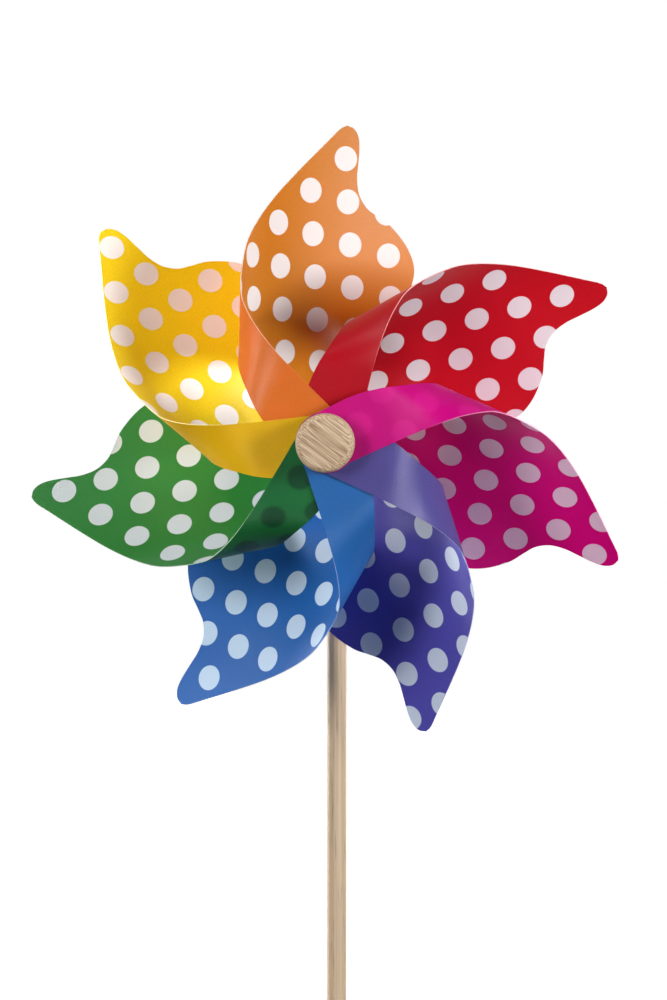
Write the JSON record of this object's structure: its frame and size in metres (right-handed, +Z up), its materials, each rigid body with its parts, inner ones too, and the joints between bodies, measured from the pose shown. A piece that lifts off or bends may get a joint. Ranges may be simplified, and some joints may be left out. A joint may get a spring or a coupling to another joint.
{
  "type": "garden windmill",
  "caption": "Pinwheel garden windmill: coloured, dotted plastic sheet blades curled onto a wooden hub that spins on a round wooden stake.",
  "frame": {"origin": "centre of the stake's flat foot", "axes": "+Z up along the stake, -Y the way the wheel faces"},
  "size_m": [0.2905, 0.1399, 0.7279],
  "materials": {
    "stake_wood": "sanded",
    "turned_wood": "turned and sanded",
    "clear_plastic": "natural, milky",
    "steel": "bright drawn",
    "plastic_red": "satin sheet, fine grain, white dots printed on one side",
    "plastic_orange": "satin sheet, fine grain, white dots printed on one side",
    "plastic_yellow": "satin sheet, fine grain, white dots printed on one side",
    "plastic_green": "satin sheet, fine grain, white dots printed on one side",
    "plastic_blue": "satin sheet, fine grain, white dots printed on one side",
    "plastic_violet": "satin sheet, fine grain, white dots printed on one side",
    "plastic_magenta": "satin sheet, fine grain, white dots printed on one side"
  },
  "bodies": {
    "post": {"stake": "stake_wood", "bush_front": "clear_plastic", "bush_rear": "clear_plastic"},
    "wheel": {"axle": "steel", "hub_cap": "turned_wood", "front_washer": "clear_plastic", "blade_red": "plastic_red", "blade_orange": "plastic_orange", "blade_yellow": "plastic_yellow", "blade_green": "plastic_green", "blade_blue": "plastic_blue", "blade_violet": "plastic_violet", "blade_magenta": "plastic_magenta", "spacer_tube": "clear_plastic", "rear_washer": "clear_plastic", "spacer_bead": "turned_wood", "thrust_washer": "steel", "rear_knob": "turned_wood"}
  },
  "joints": [
    {"name": "wheel_spin", "type": "hinge", "parent": "post", "child": "wheel", "pos_m": [0, 0, 0.575], "axis": [0, -1, 0], "continuous": true}
  ]
}
